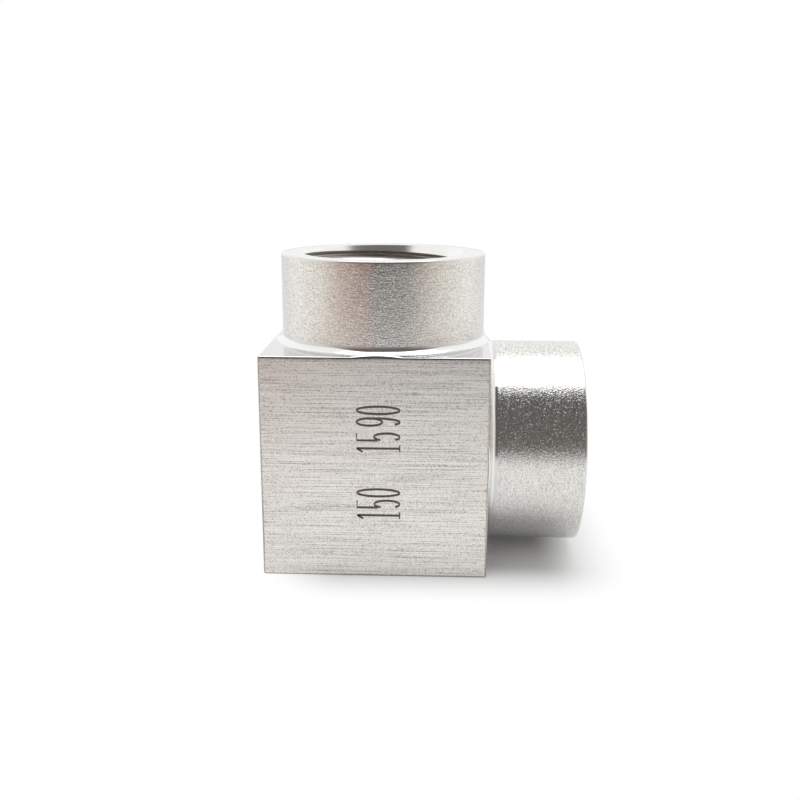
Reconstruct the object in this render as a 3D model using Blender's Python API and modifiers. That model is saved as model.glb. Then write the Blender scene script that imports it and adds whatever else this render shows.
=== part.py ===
"""Female threaded elbow in stainless steel, a pipe fitting turned and bored from one square block.

Lengths are metres, +Z is up. The origin is the centre of the block's bottom face, on which the elbow
stands. One socket opens upwards and the other along +X. Their axes cross inside the block at a right
angle, and every turned or bored shape is drawn in the frame of its own port: the local origin is that
crossing and local +Z points out of the port.
"""

import math

import bmesh
import bpy
from mathutils import Matrix, Vector

# Block, left square where no hub is turned
BLOCK_WIDTH = 0.0280
BLOCK_DEPTH = 0.0280
BLOCK_HEIGHT = 0.0280
EDGE_BREAK = 0.00025

# Where the two bores cross, measured from the block's back and from its base
AXIS_FROM_BACK = 0.0144
AXIS_FROM_BASE = 0.01425

# Hubs turned on the block
HUB_DIAMETER = 0.0264
TOP_HUB_LENGTH = 0.0112
SIDE_HUB_LENGTH = 0.0120
ROOT_FILLET = 0.0012
RIM_BREAK = 0.0002

# Sockets: tapping drill, countersunk mouth, and the smaller passage that joins them
SOCKET_DIAMETER = 0.01863
SOCKET_DEPTH = 0.0150
MOUTH_DIAMETER = 0.0210
MOUTH_ANGLE = math.radians(60.0)
PASSAGE_DIAMETER = 0.0150
DRILL_POINT = math.radians(118.0)

# Right-hand 1/2 inch pipe thread in each socket. Its tool withdraws over the last stretch of a turn
THREAD_DIAMETER = 0.020955
THREAD_PITCH = 0.001814
THREAD_ANGLE = math.radians(55.0)
THREAD_LENGTH = 0.0126
THREAD_RUN_OUT_TURNS = 0.5

# Facets round a hub, round a bore or thread, and along a fillet
ROUND_STEPS = 72
BORE_STEPS = 48
FILLET_STEPS = 6

# How far a turning or boring cutter reaches past the metal, and a thread cutter into the open bore
CUT_MARGIN = 0.0010
THREAD_CUT_MARGIN = 0.0002

STEEL_COLOUR = (0.62, 0.60, 0.57, 1.0)
STEEL_ROUGHNESS = 0.33
SMOOTH_ANGLE = math.radians(30.0)

AXIS_X = AXIS_FROM_BACK - BLOCK_WIDTH / 2
TOP_SHOULDER = BLOCK_HEIGHT - AXIS_FROM_BASE
SIDE_SHOULDER = BLOCK_WIDTH - AXIS_FROM_BACK
TOP_RIM = TOP_SHOULDER + TOP_HUB_LENGTH
SIDE_RIM = SIDE_SHOULDER + SIDE_HUB_LENGTH
TO_TOP_PORT = Matrix.Translation((AXIS_X, 0.0, AXIS_FROM_BASE))
# Half a facet of turn keeps the two bores' facets from meeting edge on edge at the crossing
HALF_FACET = math.pi / BORE_STEPS
TO_SIDE_PORT = TO_TOP_PORT @ Matrix.Rotation(math.pi / 2, 4, "Y") @ Matrix.Rotation(HALF_FACET, 4, "Z")


def clear_scene():
    """Removes whatever objects the scene holds."""
    for obj in list(bpy.data.objects):
        bpy.data.objects.remove(obj, do_unlink=True)


def add_collection(name):
    """A new collection in the scene."""
    collection = bpy.data.collections.new(name)
    bpy.context.scene.collection.children.link(collection)
    return collection


def steel_material():
    """Brushed stainless steel."""
    material = bpy.data.materials.new("stainless_steel")
    material.use_nodes = True
    shader = material.node_tree.nodes["Principled BSDF"]
    shader.inputs["Base Color"].default_value = STEEL_COLOUR
    shader.inputs["Metallic"].default_value = 1.0
    shader.inputs["Roughness"].default_value = STEEL_ROUGHNESS
    return material


def arc(centre, radius, start, end, steps):
    """Points (radius, height) on an arc about centre, from the start angle to the end angle."""
    angles = [start + (end - start) * i / steps for i in range(steps + 1)]
    return [(centre[0] + radius * math.cos(a), centre[1] + radius * math.sin(a)) for a in angles]


def turned(name, profile, steps, is_ring, placement, collection):
    """A profile of (radius, height) points spun about local Z. A ring's profile closes on itself."""
    mesh = bpy.data.meshes.new(name)
    points = [(radius, 0.0, height) for radius, height in profile]
    edges = [(i, i + 1) for i in range(len(points) - 1)]
    if is_ring:
        edges.append((len(points) - 1, 0))
    mesh.from_pydata(points, edges, [])
    obj = bpy.data.objects.new(name, mesh)
    collection.objects.link(obj)
    obj.matrix_world = placement
    spin = obj.modifiers.new("Spin", "SCREW")
    spin.axis = "Z"
    spin.angle = math.tau
    spin.steps = steps
    spin.render_steps = steps
    spin.use_merge_vertices = True
    spin.merge_threshold = 0.000001
    spin.use_smooth_shade = True
    return obj


def turning_profile(shoulder, rim, other_rim):
    """Section of the metal that turning takes off round a hub, down to the shoulder.

    It is a ring. Its inner side is the hub wall, with a fillet at the shoulder and a broken edge at
    the rim. Its outer side lies past the farthest corner of the blank, which is as wide as the other
    port's rim is far.
    """
    hub_radius = HUB_DIAMETER / 2
    outside = math.hypot(max(other_rim, AXIS_FROM_BACK, AXIS_FROM_BASE), BLOCK_DEPTH / 2) + CUT_MARGIN
    fillet_centre = (hub_radius + ROOT_FILLET, shoulder + ROOT_FILLET)
    fillet = arc(fillet_centre, ROOT_FILLET, -math.pi / 2, -math.pi, FILLET_STEPS)
    rim_break = [
        (hub_radius, rim - RIM_BREAK),
        (hub_radius - RIM_BREAK - CUT_MARGIN, rim + CUT_MARGIN),
    ]
    return [(outside, rim + CUT_MARGIN), (outside, shoulder)] + fillet + rim_break


def cone_drop(large_radius, small_radius, point_angle):
    """How far a cone of this angle at its point runs along the axis while its radius shrinks."""
    return (large_radius - small_radius) / math.tan(point_angle / 2)


def bore_profile(rim):
    """Section of everything drilled from one port: countersink, socket, passage and drill point.

    The passage is drilled until its full width reaches the other port's axis.
    """
    mouth_radius = MOUTH_DIAMETER / 2
    socket_radius = SOCKET_DIAMETER / 2
    passage_radius = PASSAGE_DIAMETER / 2
    socket_floor = rim - SOCKET_DEPTH
    cutter_radius = mouth_radius + CUT_MARGIN * math.tan(MOUTH_ANGLE / 2)
    return [
        (0.0, rim + CUT_MARGIN),
        (cutter_radius, rim + CUT_MARGIN),
        (socket_radius, rim - cone_drop(mouth_radius, socket_radius, MOUTH_ANGLE)),
        (socket_radius, socket_floor),
        (passage_radius, socket_floor - cone_drop(socket_radius, passage_radius, DRILL_POINT)),
        (passage_radius, 0.0),
        (0.0, -cone_drop(passage_radius, 0.0, DRILL_POINT)),
    ]


def thread_sections(rim):
    """Sections of the thread groove, one for each facet of the helix, from its inner end to the mouth.

    Each is a trapezoid that narrows outwards to a flat of a sixth of the pitch, as a sharp thread of
    this angle does when its tip is cut back. It turns anticlockwise as it rises, which is right-handed.
    Over the run-out the whole section stands off towards the axis, until it clears the bore.
    """
    outer = THREAD_DIAMETER / 2
    inner = SOCKET_DIAMETER / 2 - THREAD_CUT_MARGIN
    outer_half = THREAD_PITCH / 12
    inner_half = outer_half + (outer - inner) * math.tan(THREAD_ANGLE / 2)
    corners = [(inner, -inner_half), (outer, -outer_half), (outer, outer_half), (inner, inner_half)]
    withdrawal = outer - inner
    turns = (THREAD_LENGTH + inner_half + THREAD_CUT_MARGIN) / THREAD_PITCH
    sections = []
    for step in range(math.ceil(turns * BORE_STEPS) + 1):
        turn = step / BORE_STEPS
        stand_off = withdrawal * max(0.0, 1.0 - turn / THREAD_RUN_OUT_TURNS)
        height = rim - THREAD_LENGTH + turn * THREAD_PITCH
        angle = math.tau * turn
        sections.append(
            [
                (
                    (radius - stand_off) * math.cos(angle),
                    (radius - stand_off) * math.sin(angle),
                    height + rise,
                )
                for radius, rise in corners
            ]
        )
    return sections


def lofted(name, sections, placement, collection):
    """A solid through sections that all have as many points, with a flat cap at each end."""
    mesh = bpy.data.meshes.new(name)
    shape = bmesh.new()
    rings = [[shape.verts.new(point) for point in section] for section in sections]
    for ring, following in zip(rings, rings[1:]):
        for i, corner in enumerate(ring):
            j = (i + 1) % len(ring)
            shape.faces.new((corner, ring[j], following[j], following[i]))
    shape.faces.new(rings[0])
    shape.faces.new(rings[-1])
    bmesh.ops.recalc_face_normals(shape, faces=shape.faces)
    shape.to_mesh(mesh)
    shape.free()
    obj = bpy.data.objects.new(name, mesh)
    collection.objects.link(obj)
    obj.matrix_world = placement
    return obj


def blank(collection):
    """The square block before turning, out to both rims, with its edges broken."""
    low = Vector((-BLOCK_WIDTH / 2, -BLOCK_DEPTH / 2, 0.0))
    high = Vector((AXIS_X + SIDE_RIM, BLOCK_DEPTH / 2, AXIS_FROM_BASE + TOP_RIM))
    mesh = bpy.data.meshes.new("elbow_body")
    shape = bmesh.new()
    bmesh.ops.create_cube(shape, size=1.0)
    bmesh.ops.scale(shape, vec=high - low, verts=shape.verts)
    bmesh.ops.translate(shape, vec=(high + low) / 2, verts=shape.verts)
    shape.to_mesh(mesh)
    shape.free()
    obj = bpy.data.objects.new("elbow_body", mesh)
    collection.objects.link(obj)
    bevel = obj.modifiers.new("Broken edges", "BEVEL")
    bevel.width = EDGE_BREAK
    bevel.segments = 2
    bevel.limit_method = "ANGLE"
    return obj


def cut(obj, cutter):
    """Takes the cutter's shape off the object, and shows the cutter as a guide only."""
    cutter.hide_render = True
    cutter.display_type = "WIRE"
    boolean = obj.modifiers.new("Cut " + cutter.name, "BOOLEAN")
    boolean.operation = "DIFFERENCE"
    boolean.solver = "EXACT"
    boolean.object = cutter


def shade_by_angle(obj):
    """Shades the finished shape smooth, and keeps every edge sharper than SMOOTH_ANGLE crisp."""
    group = bpy.data.node_groups.new("Shade by angle", "GeometryNodeTree")
    group.interface.new_socket("Geometry", in_out="INPUT", socket_type="NodeSocketGeometry")
    group.interface.new_socket("Geometry", in_out="OUTPUT", socket_type="NodeSocketGeometry")
    nodes, links = group.nodes, group.links
    source = nodes.new("NodeGroupInput")
    result = nodes.new("NodeGroupOutput")
    smooth_faces = nodes.new("GeometryNodeSetShadeSmooth")
    sharp_edges = nodes.new("GeometryNodeSetShadeSmooth")
    sharp_edges.domain = "EDGE"
    sharp_edges.inputs["Shade Smooth"].default_value = False
    angle = nodes.new("GeometryNodeInputMeshEdgeAngle")
    is_sharp = nodes.new("FunctionNodeCompare")
    is_sharp.operation = "GREATER_THAN"
    is_sharp.inputs["B"].default_value = SMOOTH_ANGLE
    links.new(angle.outputs["Unsigned Angle"], is_sharp.inputs["A"])
    links.new(is_sharp.outputs["Result"], sharp_edges.inputs["Selection"])
    links.new(source.outputs["Geometry"], smooth_faces.inputs["Geometry"])
    links.new(smooth_faces.outputs["Geometry"], sharp_edges.inputs["Geometry"])
    links.new(sharp_edges.outputs["Geometry"], result.inputs["Geometry"])
    obj.modifiers.new("Shade by angle", "NODES").node_group = group


def machine_port(body, port, placement, shoulder, rim, other_rim, cutters):
    """Turns the hub of one port, bores its socket and cuts the thread."""
    ring = turning_profile(shoulder, rim, other_rim)
    cut(body, turned(port + "_turning", ring, ROUND_STEPS, True, placement, cutters))
    bore = bore_profile(rim)
    cut(body, turned(port + "_bore", bore, BORE_STEPS, False, placement, cutters))
    cut(body, lofted(port + "_thread", thread_sections(rim), placement, cutters))


def main():
    clear_scene()
    body = blank(add_collection("threaded_elbow"))
    body.data.materials.append(steel_material())
    cutters = add_collection("cutters")
    machine_port(body, "top", TO_TOP_PORT, TOP_SHOULDER, TOP_RIM, SIDE_RIM, cutters)
    machine_port(body, "side", TO_SIDE_PORT, SIDE_SHOULDER, SIDE_RIM, TOP_RIM, cutters)
    shade_by_angle(body)


main()
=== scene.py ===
# %% [markdown]
# # A threaded elbow in stainless steel
# The real object is one piece of steel: a square block whose top and right side were turned down to
# round hubs, each bored and threaded so that a pipe screws in. The plain solid of the elbow is loaded
# first, as a fixed frame. Everything below is measured from it, so the dressed elbow lies exactly on it.

# %% Load the elbow
import math

import bmesh
import bpy
import numpy as np
from mathutils import Matrix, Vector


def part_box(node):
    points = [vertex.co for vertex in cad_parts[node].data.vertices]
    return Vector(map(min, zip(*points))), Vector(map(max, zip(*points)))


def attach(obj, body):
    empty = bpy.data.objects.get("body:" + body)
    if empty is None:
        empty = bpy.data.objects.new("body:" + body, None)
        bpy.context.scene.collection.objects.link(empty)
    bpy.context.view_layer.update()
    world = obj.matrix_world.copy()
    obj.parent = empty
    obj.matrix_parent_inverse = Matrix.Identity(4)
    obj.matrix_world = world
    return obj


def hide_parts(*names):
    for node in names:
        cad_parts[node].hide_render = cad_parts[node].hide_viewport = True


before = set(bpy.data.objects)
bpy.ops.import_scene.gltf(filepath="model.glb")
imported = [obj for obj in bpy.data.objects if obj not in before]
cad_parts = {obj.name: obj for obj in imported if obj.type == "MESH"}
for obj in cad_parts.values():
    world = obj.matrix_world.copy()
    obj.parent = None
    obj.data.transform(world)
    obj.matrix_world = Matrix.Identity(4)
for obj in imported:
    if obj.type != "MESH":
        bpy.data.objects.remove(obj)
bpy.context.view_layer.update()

low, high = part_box("elbow_body")
print("elbow", [round(1000 * (b - a), 2) for a, b in zip(low, high)], "mm")

# %% [markdown]
# ## The camera
# The photograph looks a little down on the front of the block, from close by, so lines that run away
# from the camera shrink quickly. A lens has to be matched together with its distance: the same elbow
# seen from further away through a longer lens would look flatter. Turn, pitch and roll are in radians,
# the lens and its sensor in millimetres.

# %% Camera
CAMERA_PLACE = (0.007537, -0.129288, 0.050930)
CAMERA_TURN = 0.0381
CAMERA_PITCH = -0.2391
CAMERA_ROLL = -0.0025
LENS = 44.51
SENSOR = 36.0
NEAREST_SEEN = 0.005
FARTHEST_SEEN = 20.0


def aim_camera():
    """Places the camera: level and facing +Y first, then rolled, pitched and turned about Z."""
    data = bpy.data.cameras.new("camera")
    data.lens = LENS
    data.sensor_width = SENSOR
    data.clip_start = NEAREST_SEEN
    data.clip_end = FARTHEST_SEEN
    camera = bpy.data.objects.new("camera", data)
    bpy.context.scene.collection.objects.link(camera)
    turn = Matrix.Rotation(CAMERA_TURN, 4, "Z")
    pitch = Matrix.Rotation(CAMERA_PITCH, 4, "X")
    roll = Matrix.Rotation(CAMERA_ROLL, 4, "Y")
    upright = Matrix.Rotation(math.pi / 2, 4, "X")
    camera.matrix_world = Matrix.Translation(CAMERA_PLACE) @ turn @ pitch @ roll @ upright
    bpy.context.scene.camera = camera


aim_camera()
print("camera", round(1000 * abs(CAMERA_PLACE[1] - low.y)), "mm in front of the block")

# %% [markdown]
# ## Sizes
# The block's width across its flats, its top and its right side come from the frame, and so do the two
# rims. Only what a box can't tell, such as the hub's diameter or the thread's pitch, is written here.
# Both ports are described from the point where their axes cross, so one set of functions makes both.
# A 55 degree thread's depth and the round at its root are fixed shares of its pitch.

# %% Sizes
BLOCK = high.y - low.y
AXIS_X = 0.0004
AXIS_Z = 0.01425
CROSSING = np.array((AXIS_X, 0.0, AXIS_Z))
BLOCK_LOW = np.array((low.x, low.y, low.z)) - CROSSING
BLOCK_HIGH = BLOCK_LOW + BLOCK
TOP_RIM = high.z - AXIS_Z
SIDE_RIM = high.x - AXIS_X

HUB_RADIUS = 0.0132
ROOT_WIDTH = 0.0010
ROOT_HEIGHT = 0.0008
ROOT_POWER = 1.35
EDGE_ROUND = 0.00027
RIM_ROUND_WIDTH = 0.00012
RIM_ROUND_HEIGHT = 0.0003

MOUTH_RADIUS = 0.0105
MINOR_RADIUS = 0.009315
MOUTH_SLOPE = math.tan(math.radians(30.0))
THREAD_PITCH = 0.001814
DEPTH_SHARE = 0.640327
ROOT_ROUND_SHARE = 0.137329
THREAD_DEPTH = DEPTH_SHARE * THREAD_PITCH
THREAD_LENGTH = 0.0126
RUN_OUT_TURNS = 0.5
SOCKET_DEPTH = 0.0150
PASSAGE_RADIUS = 0.0075
DRILL_SLOPE = math.tan(math.radians(59.0))
print("block", round(1000 * BLOCK, 2), "mm, thread", round(1000 * THREAD_DEPTH, 3), "mm deep")

# %% [markdown]
# ## One skin out of many grids
# A machined part is a closed skin, but no single grid covers it. Here each stretch is its own grid of
# points, worked out as one array of rows and columns, and neighbouring grids share the points of their
# common border. All grids go into one mesh, where a merge at a tenth of a micrometre sews the borders.
# A row that shrinks to a point, as at the start of a thread, is closed by the same merge.

# %% Collecting grids
SEW_DISTANCE = 1.0e-7
grids = []


def add_grid(points, finish, flip):
    """Keeps a grid of points (rows, columns, 3) for the skin, with the name of its finish and whether
    its faces are turned round."""
    grids.append((np.asarray(points, float), finish, flip))


def grid_faces(rows, columns, flip):
    """Quads of a grid, as corner numbers: each cell takes its corner, the next column's, and the two
    below them. flip turns the order round, and so the side that faces out."""
    corner = np.arange((rows - 1) * columns).reshape(rows - 1, columns)[:, :-1].ravel()
    quads = np.stack([corner, corner + 1, corner + columns + 1, corner + columns], axis=1)
    return quads[:, ::-1] if flip else quads


print("borders are sewn at", 1e6 * SEW_DISTANCE, "micrometres")

# %% [markdown]
# ## The block's faces
# Sawn and ground bar has slightly rounded edges, and each catches a thin line of light. A rounded box
# has a neat description: take a point on a smaller box, and go out from it by the rounding radius, in a
# direction that turns from one face to the next. Every face here ends where that direction has turned
# halfway, at 45 degrees, so that two faces share the middle line of their common edge. A cube with a
# Bevel modifier would do for a plain block, but out of two faces of this one a hub has to grow.

# %% Lines across a face
FACE_LINES = 60
EDGE_LINES = 4


def lines_across(start, end):
    """Places and tilts of the lines across a face, from the middle of one edge to that of the other.

    A line's place is on the inner box, which is smaller by the rounding all round. Its tilt is the
    tangent of the angle by which the surface leans out there: -1 and 1 at the ends, 0 on the flat.
    """
    rise = np.tan(np.linspace(-math.pi / 4, 0.0, EDGE_LINES + 1))[:-1]
    flat = np.linspace(start + EDGE_ROUND, end - EDGE_ROUND, FACE_LINES - 2 * EDGE_LINES + 1)
    place = np.concatenate([np.full(EDGE_LINES, flat[0]), flat, np.full(EDGE_LINES, flat[-1])])
    tilt = np.concatenate([rise, np.zeros(flat.size), -rise[::-1]])
    return place, tilt


def face_points(axis, side):
    """A grid over one face of the rounded block: rows along one of its axes, columns along the other.

    Each point is its place on the inner box plus the rounding radius times the unit vector of
    (tilt along the rows, tilt along the columns, one outwards).
    """
    row_axis, column_axis = [other for other in range(3) if other != axis]
    row_place, row_tilt = lines_across(BLOCK_LOW[row_axis], BLOCK_HIGH[row_axis])
    column_place, column_tilt = lines_across(BLOCK_LOW[column_axis], BLOCK_HIGH[column_axis])
    shape = (row_place.size, column_place.size)
    place = np.empty(shape + (3,))
    lean = np.empty(shape + (3,))
    place[..., row_axis], place[..., column_axis] = np.meshgrid(row_place, column_place, indexing="ij")
    lean[..., row_axis], lean[..., column_axis] = np.meshgrid(row_tilt, column_tilt, indexing="ij")
    outer = BLOCK_HIGH[axis] if side > 0 else BLOCK_LOW[axis]
    place[..., axis] = outer - side * EDGE_ROUND
    lean[..., axis] = side
    return place + EDGE_ROUND * lean / np.linalg.norm(lean, axis=-1, keepdims=True)


print("each face has", FACE_LINES + 1, "lines both ways")

# %% [markdown]
# ## Where a hub's root runs off the block
# The turning tool leaves a small fillet between a hub and the shoulder. The hub is nearly as wide as
# the block, so the fillet runs off the block's faces, and the block's top edge rises by less than a tenth
# of a millimetre in front of the hub. A Bevel modifier leaves such a fillet no room to end. Here one
# rule bends fillet and face together: near a port's face, a point is lifted along the port's axis by the
# fillet's height at its distance from the hub. The fillet's section is like a quarter of an oval, but
# flatter in the middle, as a worn tool leaves it.

# %% The fillet's height
RISE_FADE = 0.0010
SETTLING_ROUNDS = 40


def fillet_height(distance):
    """Height of the root fillet at a distance from the axis. It is greatest at the hub's wall and runs
    out on the shoulder: the share of the height that is missing and the share of the way out that is
    still to go, each raised to a power, add up to one. A power of 2 would make it an oval."""
    share = np.clip(1.0 - (distance - HUB_RADIUS) / ROOT_WIDTH, 0.0, 1.0)
    return ROOT_HEIGHT * (1.0 - (1.0 - share**ROOT_POWER) ** (1.0 / ROOT_POWER))


def nearness(place, face):
    """0 away from a port's face, rising smoothly to 1 where the face's rounded edge begins."""
    share = np.clip((place - (face - EDGE_ROUND - RISE_FADE)) / RISE_FADE, 0.0, 1.0)
    return share * share * (3.0 - 2.0 * share)


def with_fillets(across, depth, out, near_other, near_own):
    """Moves points so that they lie on both ports' fillets.

    Coordinates are a port's own: across lies towards the other port, depth is +Y and out is along the
    axis. The lift along this axis and the push along the other one each depend on the other, so they
    are worked out in turn until they stand still.
    """
    push = np.zeros_like(across)
    for _ in range(SETTLING_ROUNDS):
        lift = near_own * fillet_height(np.hypot(across + push, depth))
        push = near_other * fillet_height(np.hypot(out + lift, depth))
    return across + push, out + lift


def plain_face(axis, side, finish):
    """One of the block's faces without a hub, with the fillets' rise at its edges."""
    points = face_points(axis, side)
    near_side_port = nearness(points[..., 0], BLOCK_HIGH[0])
    near_top_port = nearness(points[..., 2], BLOCK_HIGH[2])
    x, z = with_fillets(points[..., 0], points[..., 1], points[..., 2], near_side_port, near_top_port)
    placed = np.stack([x, points[..., 1], z], axis=-1) + CROSSING
    add_grid(placed, finish, flip=(side > 0) == (axis != 1))


plain_face(1, -1, "ground_flat")
plain_face(1, 1, "ground_flat")
plain_face(0, -1, "ground_flat")
plain_face(2, -1, "ground_base")
print("plain faces", len(grids))

# %% [markdown]
# ## A port as rows of rings
# Everything on a port is round, so its skin is a stack of rings. The first ring isn't round at all: it
# is the square border of the block's face. From there straight spokes run in to the hub, which lets a
# square turn into a circle without a single stray face. A port knows its own lengths, and turns its own
# coordinates (towards the other port, +Y, out along the axis) into the elbow's. The plain solid's rings
# have 48 facets, and its thread starts at the middle of one, so the thread here does too.

# %% A port's frame
SPOKES = 4 * FACE_LINES
SOLID_FACETS = 48
HALF_FACET_TURNS = 0.5 / SOLID_FACETS


class Port:
    """Lengths of one port. A ring starts on the other port's side and goes round by way of +Y."""

    def __init__(self, name, axis, other_axis, rim):
        self.name = name
        self.axis = axis
        self.other_axis = other_axis
        self.shoulder = BLOCK_HIGH[axis]
        self.rim = rim
        self.mirrored = axis == 0

    def add(self, across, depth, out, finish):
        """Adds a grid given in the port's own coordinates."""
        points = np.empty(np.broadcast(across, depth, out).shape + (3,))
        points[..., self.other_axis] = across
        points[..., 1] = depth
        points[..., self.axis] = out
        add_grid(points + CROSSING, finish + "_" + self.name, self.mirrored)

    def add_rings(self, radius, angle, out, finish):
        """Adds rings given by radius, angle and place along the axis."""
        radius, angle, out = np.broadcast_arrays(radius, angle, out)
        self.add(radius * np.cos(angle), radius * np.sin(angle), out, finish)

    def groove_turn(self, angle):
        """Turns made by the thread's helix when it passes an angle. Both threads are right-handed, but
        the side port's rings run the other way round, and its helix starts at the bottom."""
        turn = angle / math.tau
        return 0.5 - turn - HALF_FACET_TURNS if self.mirrored else turn


PORTS = (Port("top", 2, 0, TOP_RIM), Port("side", 0, 2, SIDE_RIM))
EVEN_ANGLE = np.linspace(0.0, math.tau, SPOKES + 1)[None, :]
print("rings of", SPOKES, "points")

# %% [markdown]
# ## Shoulder and root fillet
# Along each spoke the points are spread by length over the flat and up the fillet, as if it were round,
# and closer together near the hub, because a curve needs more points than a flat. The first few, over
# the block's rounded edge, are spread by angle. A spoke that meets the edge before its fillet has run out
# is simply cut short there, as the tool's cut is.

# %% Shoulder
SPOKE_STEPS = 18
SPOKE_CROWDING = 1.25


def face_border(port):
    """The border of a port's face, one point for each spoke, in the port's own coordinates.

    It follows the middle lines of the four rounded edges, from the middle of the edge beside the other
    port, towards +Y and all the way round.
    """
    across, across_tilt = lines_across(BLOCK_LOW[port.other_axis], BLOCK_HIGH[port.other_axis])
    depth, depth_tilt = lines_across(BLOCK_LOW[1], BLOCK_HIGH[1])
    last = FACE_LINES
    half = FACE_LINES // 2
    up = np.arange(last + 1)
    down = up[::-1]
    end = np.full(last, last)
    start = np.zeros(last, int)
    i = np.concatenate([end[:half], down[:-1], start, up[:-1], end[:half], [last]])
    j = np.concatenate([up[half:-1], end, down[:-1], start, up[:half], [half]])
    lean = np.stack([across_tilt[i], depth_tilt[j], np.ones(i.size)])
    lean = EDGE_ROUND * lean / np.linalg.norm(lean, axis=0)
    return across[i] + lean[0], depth[j] + lean[1]


def add_shoulder(port):
    """The flat shoulder with its rounded edge and the root fillet, from the block's border to the hub.

    Returns each spoke's angle. A spoke's radius first runs over the rounded edge, then along the flat
    and over the fillet: there it is the hub's radius plus the fillet's width times one minus the
    cosine of an angle, plus what is left of the flat. Over the rounded edge the height is that of a
    ball of the edge's radius, by the distance past the flat.
    """
    across, depth = face_border(port)
    reach = np.hypot(across, depth)
    toward_across, toward_depth = across / reach, depth / reach
    inner_low = BLOCK_LOW + EDGE_ROUND
    inner_high = BLOCK_HIGH - EDGE_ROUND
    other = port.other_axis
    side_wall = np.where(toward_across > 0, inner_high[other], inner_low[other])
    with np.errstate(divide="ignore"):
        to_side = np.abs(side_wall / toward_across)
        to_depth = np.abs(inner_high[1] / toward_depth)
    flat_end = np.minimum(to_side, to_depth)

    lean = np.linspace(math.pi / 4, 0.0, EDGE_LINES + 1)[:, None]
    over_edge = flat_end + (reach - flat_end) * np.sin(lean) / math.sin(math.pi / 4)
    climb_start = np.arccos(1.0 - np.minimum(flat_end - HUB_RADIUS, ROOT_WIDTH) / ROOT_WIDTH)
    arc = ROOT_WIDTH * climb_start
    length = arc + np.maximum(flat_end - HUB_RADIUS - ROOT_WIDTH, 0.0)
    share = np.linspace(1.0, 0.0, SPOKE_STEPS + 1)[1:, None] ** SPOKE_CROWDING
    along = length * share
    climbed = np.minimum(along / ROOT_WIDTH, climb_start)
    on_face = HUB_RADIUS + ROOT_WIDTH * (1.0 - np.cos(climbed)) + np.maximum(along - arc, 0.0)

    radius = np.concatenate([over_edge, on_face])
    u, v = radius * toward_across, radius * toward_depth
    beyond_u = np.maximum(np.maximum(u - inner_high[other], inner_low[other] - u), 0.0)
    beyond_v = np.maximum(np.abs(v) - inner_high[1], 0.0)
    height = np.sqrt(np.maximum(EDGE_ROUND**2 - beyond_u**2 - beyond_v**2, 0.0))
    out = port.shoulder - EDGE_ROUND + height
    u, out = with_fillets(u, v, out, nearness(u, BLOCK_HIGH[other]), 1.0)
    port.add(u, v, out, "shoulder")
    return np.unwrap(np.arctan2(depth, across))[None, :]


# %% [markdown]
# ## Hub, rim and mouth
# The spokes of a square stand closer together towards its corners. Up the hub's wall they drift
# smoothly to even spacing, which the thread needs further on. A cylinder joined to the block would need
# a seam where the two kinds of spacing meet. The blasting stops a little above the fillet, so the wall's
# lowest part has the shoulder's finish. The outer edge of the rim is broken with a tiny round, and the
# faced rim ends at the mouth.

# %% Hub
WALL_STEPS = 8
SMOOTH_FOOT = 0.0003
RIM_EDGE_STEPS = 4
RIM_STEPS = 3


def add_hub(port, spoke_angle):
    """The hub's wall, the round at its rim and the flat rim as far as the mouth.

    Up the wall the angle goes from the spoke's to the even one by the smooth share of the height. The
    round is a quarter circle, and the rim is straight from it to the mouth.
    """
    foot = port.shoulder + ROOT_HEIGHT
    height = port.rim - RIM_ROUND_HEIGHT - foot
    share = np.append(0.0, np.linspace(SMOOTH_FOOT / height, 1.0, WALL_STEPS))[:, None]
    smooth = share * share * (3.0 - 2.0 * share)
    angle = spoke_angle + (EVEN_ANGLE - spoke_angle) * smooth
    port.add_rings(HUB_RADIUS, angle[:2], foot + height * share[:2], "shoulder")
    port.add_rings(HUB_RADIUS, angle[1:], foot + height * share[1:], "hub")

    turned = np.linspace(0.0, math.pi / 2, RIM_EDGE_STEPS + 1)[:, None]
    edge_radius = HUB_RADIUS - RIM_ROUND_WIDTH + RIM_ROUND_WIDTH * np.cos(turned)
    edge_out = port.rim - RIM_ROUND_HEIGHT + RIM_ROUND_HEIGHT * np.sin(turned)
    port.add_rings(edge_radius, EVEN_ANGLE, edge_out, "rim")
    radius = np.linspace(HUB_RADIUS - RIM_ROUND_WIDTH, MOUTH_RADIUS, RIM_STEPS + 1)[:, None]
    port.add_rings(radius, EVEN_ANGLE, port.rim, "rim")


# %% [markdown]
# ## The thread
# A pipe thread is a groove of 55 degrees with a rounded root, cut into a bore whose plain wall is left
# as the crest. If the rows of a grid were level, each crest would step from row to row as it climbs.
# So the rows climb with the helix: each keeps one place in the groove all the way round, and after one
# turn it meets the row one pitch above. At the mouth and at the far end the rows are held at a level
# ring, and those that fall together there are closed by the merge.

# %% Thread
FLANK_LEAN = math.radians(27.5)
FLANK_TANGENT = math.tan(FLANK_LEAN)
ROOT_RADIUS = ROOT_ROUND_SHARE * THREAD_PITCH
ROOT_HALF = ROOT_RADIUS * math.cos(FLANK_LEAN)
ROOT_SAG = ROOT_RADIUS * (1.0 - math.sin(FLANK_LEAN))
CREST_EDGE = (ROOT_HALF + (THREAD_DEPTH - ROOT_SAG) * FLANK_TANGENT) / THREAD_PITCH
# Places of the rows in one half of the groove, as shares of the pitch from its middle.
HALF_GROOVE = (0.06, ROOT_HALF / THREAD_PITCH, 0.26, CREST_EDGE - 0.02, CREST_EDGE)
MID_CREST = 0.5
SPARE_BELOW = 2
SPARE_TURNS = 3
END_CLEARANCE = 0.0003


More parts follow.
